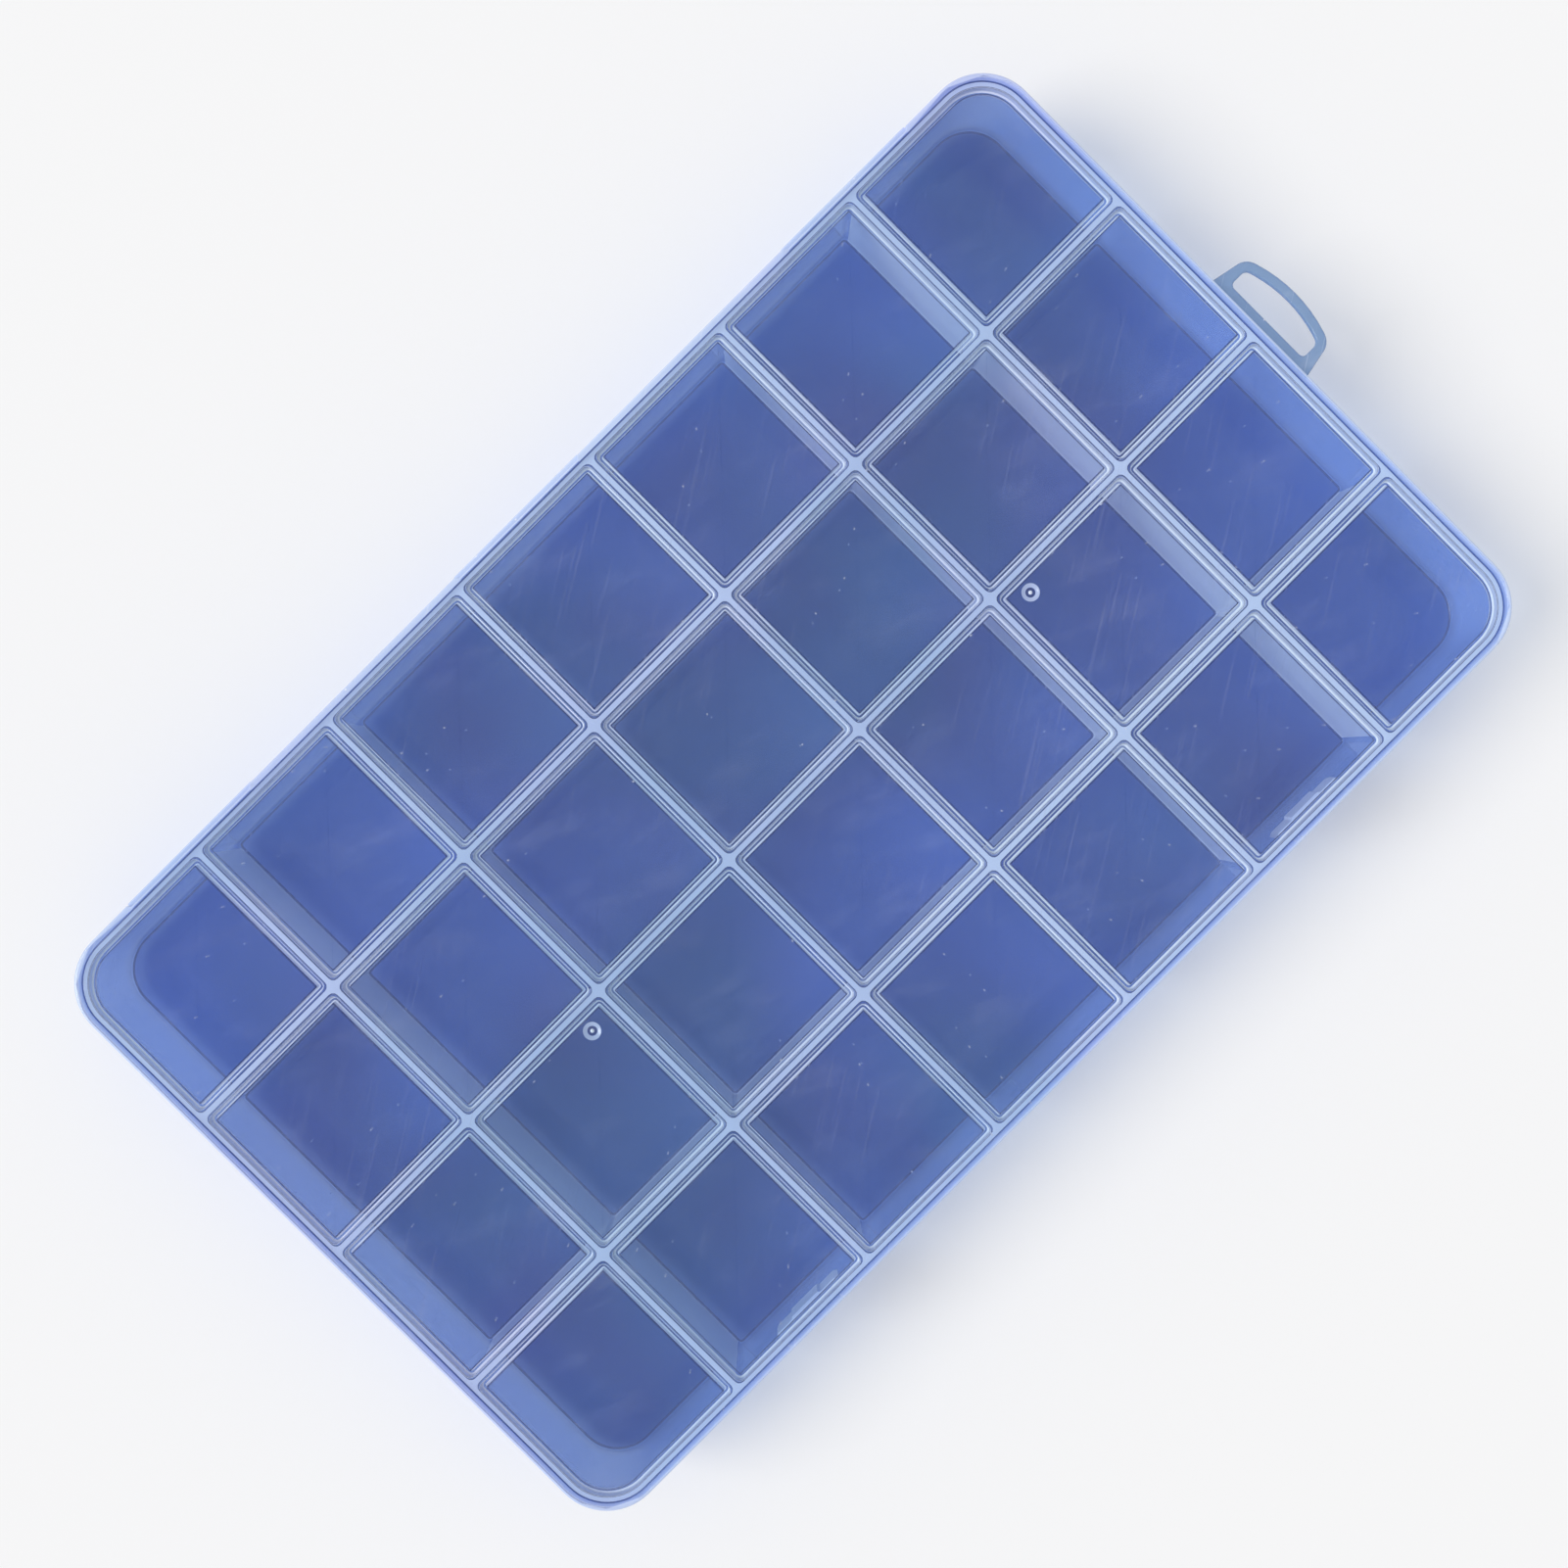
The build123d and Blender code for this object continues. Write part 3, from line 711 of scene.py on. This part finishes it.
class BOX_OT_lid(bpy.types.Operator):
    """Build the lid: panel with rounded edge, skirt, gate marks and a ring over each compartment"""

    bl_idname = "box.lid"
    bl_label = "Lid"

    def execute(self, context):
        s = sizes()
        bm = bmesh.new()
        face = plan_rectangle(bm, LID_LOW, LID_HIGH, LID_RADIUS, marks=station_marks())
        ring = Ring(bm, face, (-s.skirt_width, PANEL_LOW))
        low_edge, top_edge = s.skirt_round, s.panel_round
        ring.draw(quarter((-s.skirt_width + low_edge, SKIRT_LOW + low_edge), low_edge, 180, 270))
        ring.draw(quarter((-low_edge, SKIRT_LOW + low_edge), low_edge, -90, 0) + [(0, PANEL_LOW)])
        stations = set_in_stations(ring)
        ring.draw([(0, PANEL_LOW)], stations)
        ring.draw(quarter((-top_edge, LID_TOP - top_edge), top_edge, 0, 90, WIDE_ARC_STEPS), stations)
        marks = [e for sign in (-1, 1) for e in gate_mark(bm, sign * s.gate_offset_x, -s.gate_offset_y)]
        fill_between(bm, ring.edges() + marks)
        roots = []
        for low, high, big_corner in each_compartment():
            roots += self.rib_ring(bm, low, high, big_corner)
        fill_between(bm, ring.first + roots)
        lid = as_object(bm, "lid_shell")
        even_shading(lid)
        root = PANEL_LOW - s.rib_inner_round
        around = s.gate_diameter
        paint(
            lid,
            lid_plastics(),
            (WALL, lambda at, way: at.z < PANEL_LOW - 2 * HAIR),
            (SHEET, lambda at, way: at.z < RIB_LOW + HAIR),
            # Painted highlight: slanting faces, the rounded edges of the rings and of the lid, get the
            # near-white edge slot
            (PAINTED_GLINT, lambda at, way: slanting(abs(way.z))),
            (RIM, lambda at, way: beyond_walls(at)),
            # Painted shade: the rounded roots of the rings under the lid get the dark line slot
            (PAINTED_SHADE_LINE, lambda at, way: root < at.z < PANEL_LOW - HAIR),
            # Painted shade: the skirt's inner edge gets the dark rim line slot
            (PAINTED_RIM_SHADE, lambda at, way: self.inside_skirt(at)),
            # Gate marks: painted highlight on their slopes, in the lighter rim colour, and on their nubs, in
            # the milky band colour; painted shade on their floors, in the dark line colour
            (RIM, lambda at, way: way.z < FLAT and self.in_gate(at, around)),
            (PAINTED_SHADE_LINE, lambda at, way: self.in_gate(at, around / 2 - s.gate_slope)),
            (BAND, lambda at, way: self.in_gate(at, s.gate_nub / 2)),
        )
        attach(lid, "lid")
        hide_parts("lid_panel", "lid_skirt", "lid_ribs")
        return {"FINISHED"}

    def in_gate(self, place, reach):
        """Whether a place on top of the lid is within reach of the middle of a gate mark."""
        s = sizes()
        away = math.hypot(abs(place.x) - s.gate_offset_x, place.y + s.gate_offset_y)
        return place.z > PANEL_LOW and away < reach

    def inside_skirt(self, place):
        """Whether a place is on the inner edge of the skirt."""
        s = sizes()
        edge = beyond(place, LID_LOW, LID_HIGH, LID_RADIUS)
        return place.z < PANEL_LOW and beyond_walls(place) and edge < s.skirt_round - s.skirt_width

    def rib_ring(self, bm, low, high, big_corner):
        """A closed ring under the lid, just inside one compartment. Gives the outer edge of its root."""
        s = sizes()
        places = zip((*low, *high), (*INNER_LOW, *INNER_HIGH))
        gaps = [RIB_WALL_GAP if abs(place - wall) < SAME else s.rib_divider_gap for place, wall in places]
        low = low + Vector(gaps[:2])
        high = high - Vector(gaps[2:])
        face = plan_rectangle(bm, low, high, s.rib_corner, big_corner, INNER_RADIUS - RIB_WALL_GAP)
        root, tip, draft, width = s.rib_root_round, s.rib_tip_round, s.rib_draft, s.rib_width
        ring = Ring(bm, face, (root, PANEL_LOW))
        ring.draw(quarter((root, PANEL_LOW - root), root, 90, 180)[1:])
        ring.draw(quarter((-draft - tip, RIB_LOW + tip), tip, 0, -90))
        ring.draw(quarter((draft + tip - width, RIB_LOW + tip), tip, -90, -180))
        inner = s.rib_inner_round
        ring.draw(quarter((-width - inner, PANEL_LOW - inner), inner, 0, 90))
        ring.close()
        return ring.first


class BOX_OT_latches(bpy.types.Operator):
    """Build the two snap tongues with their hooks"""

    bl_idname = "box.latches"
    bl_label = "Snap latches"

    def execute(self, context):
        s = sizes()
        for name, (x_low, x_high) in LATCHES.items():
            low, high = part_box(name)
            edge = s.tongue_round
            bm = bmesh.new()
            face = plan_rectangle(
                bm, Vector((x_low, low.z)), Vector((x_high, high.z)), 2 * edge, round_low=s.tongue_corner
            )
            ring = Ring(bm, face, (-edge, 0))
            front = ring.edges()
            ring.draw(quarter((-edge, -edge), edge, 90, 0)[1:])
            ring.draw(quarter((-edge, edge - s.skirt_width), edge, 0, -90))
            ring.close()
            bmesh.ops.contextual_create(bm, geom=front)
            turn = Matrix.Translation((0, low.y, 0)) @ Matrix.Rotation(math.radians(90), 4, "X")
            bmesh.ops.transform(bm, matrix=turn, verts=bm.verts)
            tongue = as_object(bm, f"snap_{name}")
            combined(tongue, self.hook((x_low + x_high) / 2, low.y + s.skirt_width, high.y), "UNION")
            even_shading(tongue)
            everywhere = (RIM, lambda at, way: True)
            # Painted highlight: the tongue's slanting rounded edges get the near-white edge slot, the rest
            # the rim colour
            paint(tongue, lid_plastics(), everywhere, (PAINTED_GLINT, lambda at, way: slanting(abs(way.y))))
            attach(tongue, name)
            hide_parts(name)
        return {"FINISHED"}

    def hook(self, x, back, reach):
        """A wedge behind the tongue, flat on top, with rounded edges. Its top lies under the recess's own."""
        s = sizes()
        bm = bmesh.new()
        top = max(span("latch_catch_left", Z)) - (INNER_LOW.y - WALL_LOW.y) - s.hook_gap
        half = s.hook_width / 2
        into = back - s.skirt_width / 2
        section = [(into, top), (reach, top), (back, top - s.hook_height), (into, top - s.hook_height)]
        face = bm.faces.new([bm.verts.new((x - half, y, z)) for y, z in section])
        made = bmesh.ops.extrude_face_region(bm, geom=[face])["geom"]
        far = [g for g in made if isinstance(g, bmesh.types.BMVert)]
        bmesh.ops.translate(bm, verts=far, vec=(s.hook_width, 0, 0))
        bmesh.ops.recalc_face_normals(bm, faces=bm.faces)
        bmesh.ops.bevel(
            bm, geom=bm.edges[:], affect="EDGES", offset=s.hook_round, segments=2, profile=0.5, material=-1
        )
        return as_object(bm, "hook")


class BOX_OT_hinge(bpy.types.Operator):
    """Build the thin straps of the living hinge, each bent half round the hinge's axis"""

    bl_idname = "box.hinge"
    bl_label = "Living hinge"

    def execute(self, context):
        s = sizes()
        for name, (x_low, x_high) in STATIONS.items():
            radius = (span(name, Z)[1] - span(name, Z)[0]) / 2
            trim = s.strap_trim
            inner = HINGE.y - s.strap_ear
            low, high = HINGE.z - radius + trim, HINGE.z - radius + trim + s.strap_thickness
            bm = bmesh.new()
            corners = [(x_low + trim, low), (x_high - trim, low), (x_high - trim, high), (x_low + trim, high)]
            face = bm.faces.new([bm.verts.new((x, inner, z)) for x, z in corners])
            front = self.extruded(bm, face, Vector((0, s.strap_ear, 0)))
            turned = bmesh.ops.spin(
                bm, geom=[front], cent=HINGE, axis=(1, 0, 0), angle=math.pi, steps=STRAP_STEPS
            )["geom_last"]
            last = next(g for g in turned if isinstance(g, bmesh.types.BMFace))
            self.extruded(bm, last, Vector((0, -s.strap_ear, 0)))
            bmesh.ops.remove_doubles(bm, verts=bm.verts, dist=SAME)
            strap = as_object(bm, f"hinge_strap_{name.split('_')[-1]}", sharp=60)
            fold = radius / 3
            everywhere = (RIM, lambda at, way: True)
            # Painted highlight: the faces of the bend near the height of the hinge's axis get the near-white
            # edge slot
            paint(strap, lid_plastics(), everywhere, (PAINTED_GLINT, lambda at, way: abs(at.z - HINGE.z) < fold))
            up = Vector((0, 0, radius))
            HINGE - up
            HINGE + up
            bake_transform(strap)
            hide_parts(name)
        return {"FINISHED"}

    def extruded(self, bm, face, way):
        """Draws a face out some way, and gives the face at the end."""
        made = bmesh.ops.extrude_face_region(bm, geom=[face])["geom"]
        bmesh.ops.translate(bm, verts=[g for g in made if isinstance(g, bmesh.types.BMVert)], vec=way)
        return next(g for g in made if isinstance(g, bmesh.types.BMFace))


def paint(obj, materials, *rules):
    """Gives an object its material slots, and every face the first of them.

    Each rule in turn gives a slot to the faces whose middle and direction pass its test."""
    obj.data.materials.clear()
    for material in materials:
        obj.data.materials.append(material)
    for slot, test in rules:
        for polygon in obj.data.polygons:
            if test(polygon.center, polygon.normal):
                polygon.material_index = slot


def slanting(part):
    """Whether a face slants, from the part of its direction that lies along an axis."""
    return STEEP < part < FLAT


class Value:
    """A number in a material. Maths on it adds the nodes."""

    def __init__(self, finish, socket):
        self.finish = finish
        self.socket = socket

    def also(self, name):
        """Another output of the same node."""
        return Value(self.finish, self.socket.node.outputs[name])

    def math(self, operation, *others):
        """Adds a Math node on this value and others."""
        inputs = dict(enumerate((self, *others)))
        return self.finish.node("ShaderNodeMath", {"operation": operation}, inputs)

    def __add__(self, other):
        return self.math("ADD", other)

    def __rsub__(self, other):
        return self.finish.node("ShaderNodeMath", {"operation": "SUBTRACT"}, {0: other, 1: self})

    def __mul__(self, other):
        return self.math("MULTIPLY", other)

    def __pow__(self, other):
        return self.math("POWER", other)

    __radd__ = __add__
    __rmul__ = __mul__

    def between(self, low, high):
        """0 below low, 1 above high, and a smooth change between them."""
        inputs = {"Value": self, "From Min": low, "From Max": high}
        return self.finish.node("ShaderNodeMapRange", {"interpolation_type": "SMOOTHSTEP"}, inputs)

    def kept(self, low, high):
        """Kept between two numbers."""
        return self.math("MAXIMUM", low).math("MINIMUM", high)


class Nodes:
    """The nodes of a material or of the world."""

    def __init__(self, owner):
        owner.use_nodes = True
        self.owner = owner
        self.tree = owner.node_tree
        self.tree.nodes.clear()

    def node(self, kind, settings=None, inputs=None, output=0):
        """Adds any node: its type, its settings, and the values or links of its sockets."""
        node = self.tree.nodes.new(kind)
        for name, value in (settings or {}).items():
            setattr(node, name, value)
        for name, value in (inputs or {}).items():
            if isinstance(value, Value):
                self.tree.links.new(value.socket, node.inputs[name])
            else:
                node.inputs[name].default_value = value
        return Value(self, node.outputs[output]) if node.outputs else node


class Finish(Nodes):
    """A material. Its patterns lie in the object's own coordinates."""

    def __init__(self, name):
        super().__init__(bpy.data.materials.new(name))
        self.place = self.node("ShaderNodeTexCoord", output="Object")

    def stretched(self, turn, scale):
        """Coordinates turned about the upright axis and stretched."""
        inputs = {"Vector": self.place, "Rotation": (0, 0, math.radians(turn)), "Scale": scale}
        return self.node("ShaderNodeMapping", {"vector_type": "TEXTURE"}, inputs)

    def noise(self, size, detail, rough=0.5, place=None):
        """Cloudy pattern from 0 to 1 with patches of about the given size."""
        inputs = {"Vector": place or self.place, "Scale": 1 / size, "Detail": detail, "Roughness": rough}
        return self.node("ShaderNodeTexNoise", None, inputs)

    def scratches(self, turn, width, length, seldom):
        """Fine straight lines at one turn, where 0.5 is often and 0.8 is seldom."""
        lines = self.noise(width, 0, 0, self.stretched(turn, (length / width, 1, 1)))
        gaps = self.noise(length * 2, 1)
        return lines.between(seldom, seldom + 0.06) * gaps.between(0.45, 0.6)

    def specks(self, spacing, radius, share):
        """Small round dots, at a share of the points of a grid that is irregular."""
        inputs = {"Vector": self.place, "Scale": 1 / spacing}
        distance = self.node("ShaderNodeTexVoronoi", {"voronoi_dimensions": "2D"}, inputs, "Distance")
        chance = self.node("ShaderNodeSeparateColor", None, {"Color": distance.also("Color")})
        dot = 1 - distance.between(radius / spacing * 0.6, radius / spacing)
        return dot * chance.between(1 - share, 1.001 - share)

    def blend(self, amount, low, high):
        """A colour between two others."""
        low, high = (end if isinstance(end, Value) else (*end, 1) for end in (low, high))
        inputs = {0: amount, 6: low, 7: high}
        return self.node("ShaderNodeMix", {"data_type": "RGBA"}, inputs, 2)

    def surface(self, shader):
        """Ends the material with a shader, and gives the material."""
        self.node("ShaderNodeOutputMaterial", None, {"Surface": shader})
        return self.owner


def see_through(name, tint, haze, cover, edge_cover, power=1.0, spread=0.05):
    """Clear plastic as one thin surface: a tint, a haze that thickens where it turns away, and gloss.

    cover is the haze's share face on, edge_cover its share where the surface turns away, and spread how
    much the haze's colour varies."""
    existing = bpy.data.materials.get(name)
    if existing:
        return existing
    finish = Finish(name)
    turned = finish.node("ShaderNodeLayerWeight", None, {"Blend": 0.5}, "Facing")
    smudges = finish.noise(SMUDGE_SIZE, 2, 0.5)
    cloud = finish.noise(CLOUD_SIZE, 1, 0.5)
    lines = finish.scratches(SCRATCH_TURN, SCRATCH_WIDTH, SCRATCH_LENGTH, SCRATCH_SELDOM)
    dots = finish.specks(SPECK_SPACING, SPECK_RADIUS, SPECK_SHARE)
    along = finish.stretched(SMEAR_TURN, (SMEAR_STRETCH, 1, 1))
    smears = finish.noise(SMEAR_SIZE, 3, 0.6, along).between(0.52, 0.75)
    wear = SMEAR_STRENGTH * smears + SCRATCH_STRENGTH * lines + SPECK_STRENGTH * dots
    amount = cover * (0.55 + 0.9 * smudges) + wear + (edge_cover - cover) * turned**power
    amount = amount.kept(0, 1)
    warm = tuple(min(1, c * f) for c, f in zip(haze, (1 + spread, 1 - spread / 3, 1.0)))
    cold = tuple(c * f for c, f in zip(haze, (1 - spread, 1 + spread / 3, 1.0)))
    # Painted glint: a paler copy of the haze colour, blended in over large patches; spread sets how much
    # paler
    light = tuple(min(1, c * (1 + 1.4 * spread)) for c in haze)
    colour = finish.blend(smudges.between(0.38, 0.62), cold, warm)
    colour = finish.blend(finish.noise(GLINT_PATCH_SIZE, 1, 0.5).between(0.42, 0.68), colour, light)
    colour = finish.blend((5 * wear).kept(0, 0.8), colour, DUST)
    ripple = {"Strength": RIPPLE_STRENGTH, "Distance": RIPPLE_HEIGHT, "Height": cloud}
    bump = finish.node("ShaderNodeBump", None, ripple)
    rough = 0.1 + 0.06 * cloud
    inputs = {"Base Color": colour, "Roughness": rough, "IOR": PLASTIC_IOR, "Normal": bump}
    plastic = finish.node("ShaderNodeBsdfPrincipled", None, inputs)
    clear = finish.node("ShaderNodeBsdfTransparent", None, {"Color": (*tint, 1)})
    body = finish.node("ShaderNodeMixShader", None, {0: amount, 1: clear, 2: plastic})
    gloss = finish.node("ShaderNodeBsdfAnisotropic", None, {"Roughness": GLOSS_ROUGHNESS, "Normal": bump})
    mirrored = (FACE_ON_GLOSS + (1 - FACE_ON_GLOSS) * turned**5) * (1 - amount)
    seen = finish.node("ShaderNodeMixShader", None, {0: mirrored, 1: body, 2: gloss})
    grey = sum(tint) / 3
    shade = tuple((c + grey) / 2 * (1 - 0.6 * cover) for c in tint)
    lit = finish.node("ShaderNodeBsdfTransparent", None, {"Color": (*shade, 1)})
    path = finish.node("ShaderNodeLightPath", output="Is Shadow Ray")
    return finish.surface(finish.node("ShaderNodeMixShader", None, {0: path, 1: seen, 2: lit}))


def plastics(sheet, tint, cover, spread):
    """The plastic's finishes as material slots, in the order of the names below."""
    c = colours()
    bright = (0.96, 0.96, 0.99)
    loop = see_through(
        "loop_plastic", tuple(c.loop_tint), tuple(c.loop), cover=0.45, edge_cover=0.9, power=1.5
    )
    return (
        see_through(sheet, tuple(tint), tuple(c.haze), cover, edge_cover=0.7, power=3.0, spread=spread),
        see_through("divider_side", bright, tuple(c.wall), cover=0.16, edge_cover=0.97),
        see_through("outer_wall", tuple(c.side_tint), tuple(c.side), cover=0.05, edge_cover=0.5),
        see_through("milky_band", bright, tuple(c.band), cover=0.9, edge_cover=0.94),
        see_through("rim_plastic", bright, tuple(c.rim), cover=0.6, edge_cover=0.8),
        # Painted highlight: a near-white, nearly opaque copy of the plastic for the thin rounded edges
        see_through("painted_glint_line", bright, tuple(c.edge), cover=0.96, edge_cover=0.96),
        # Painted shade: a dark copy of the plastic for the thin lines where walls meet sheets and for the
        # floors of the gate marks
        see_through("painted_shade_line", bright, tuple(c.deep), cover=0.6, edge_cover=0.95),
        # Painted shade: a dark copy of the plastic for the line at the skirt's inner edge, over the rim
        see_through("painted_rim_shade_line", bright, tuple(c.line), cover=0.8, edge_cover=0.9),
        loop,
    )


def lid_plastics():
    """The finishes of everything that belongs to the lid."""
    return plastics("lid_sheet", colours().lid_tint, cover=0.05, spread=0.2)


# Slot numbers in order; the edge slot is a painted highlight, the deep line and rim line slots are painted
# shade
SHEET, WALL, SIDE, BAND, RIM, PAINTED_GLINT, PAINTED_SHADE_LINE, PAINTED_RIM_SHADE, LOOP = range(9)


class BOX_OT_stage(bpy.types.Operator):
    """Set up the pale floor, the soft studio light and the camera"""

    bl_idname = "box.stage"
    bl_label = "Stage"

    def execute(self, context):
        settings = context.scene.box_stage
        bm = bmesh.new()
        under = Matrix.Translation((0, 0, -settings.floor_gap))
        reach = settings.floor_reach
        bmesh.ops.create_grid(bm, x_segments=1, y_segments=1, size=reach, matrix=under)
        floor = as_object(bm, "stage_floor")
        finish = Finish("pale_floor")
        grain = finish.noise(0.8, 2)
        pale = tuple(settings.floor_colour)
        colour = finish.blend(grain, pale, tuple(c * 0.985 for c in pale))
        inputs = {"Base Color": colour, "Roughness": 0.9, "Specular IOR Level": 0.0}
        matt = finish.node("ShaderNodeBsdfPrincipled", None, inputs)
        paint(floor, [finish.surface(matt)])
        world = bpy.data.worlds.new("studio")
        sky = Nodes(world)
        direct = sky.node("ShaderNodeLightPath", output="Is Camera Ray")
        seen = direct.math("MAXIMUM", direct.also("Is Glossy Ray"))
        seen = seen.math("MAXIMUM", direct.also("Is Transmission Ray"))
        strength = settings.sky_strength + (settings.backdrop - settings.sky_strength) * seen
        light = sky.node("ShaderNodeBackground", None, {"Color": (1, 1, 1, 1), "Strength": strength})
        sky.node("ShaderNodeOutputWorld", None, {"Surface": light})
        context.scene.world = world
        lamp = bpy.data.lights.new("key_lamp", "SUN")
        lamp.energy = settings.key_power
        lamp.angle = settings.key_width
        key = bpy.data.objects.new("key_lamp", lamp)
        key.location = settings.key_place
        key.rotation_euler = (-key.location).to_track_quat("-Z", "Y").to_euler()
        context.scene.collection.objects.link(key)
        data = bpy.data.cameras.new("camera")
        data.lens = settings.camera_lens
        data.sensor_width = settings.camera_sensor
        data.clip_start = 10 * MM
        camera = bpy.data.objects.new("camera", data)
        lean = Euler(settings.camera_lean).to_matrix().to_4x4()
        place = Matrix.Translation(settings.camera_place)
        camera.matrix_world = place @ Matrix.Rotation(settings.camera_turn, 4, "Z") @ lean
        context.scene.collection.objects.link(camera)
        context.scene.camera = camera
        context.scene.view_settings.view_transform = "Standard"
        context.scene.cycles.transparent_max_bounces = CLEAR_SURFACES
        return {"FINISHED"}


class BOX_PT_panel(bpy.types.Panel):
    """Lists the operators in the sidebar"""

    bl_label = "Organizer Box"
    bl_idname = "BOX_PT_panel"
    bl_space_type = "VIEW_3D"
    bl_region_type = "UI"
    bl_category = "Organizer Box"

    def draw(self, context):
        for operator in OPERATORS:
            self.layout.operator(operator.bl_idname)


OPERATORS = (BOX_OT_stage, BOX_OT_tray, BOX_OT_lid, BOX_OT_latches, BOX_OT_hinge)
CLASSES = (BoxSizes, BoxColours, StageSettings, *OPERATORS, BOX_PT_panel)


def register():
    for cls in CLASSES:
        bpy.utils.register_class(cls)
    bpy.types.Scene.box_sizes = PointerProperty(type=BoxSizes)
    bpy.types.Scene.box_colours = PointerProperty(type=BoxColours)
    bpy.types.Scene.box_stage = PointerProperty(type=StageSettings)


def unregister():
    del bpy.types.Scene.box_stage
    del bpy.types.Scene.box_colours
    del bpy.types.Scene.box_sizes
    for cls in reversed(CLASSES):
        bpy.utils.unregister_class(cls)


def main():
    register()
    bpy.ops.box.stage()
    bpy.ops.box.tray()
    bpy.ops.box.lid()
    bpy.ops.box.latches()
    bpy.ops.box.hinge()


if __name__ == "__main__":
    main()
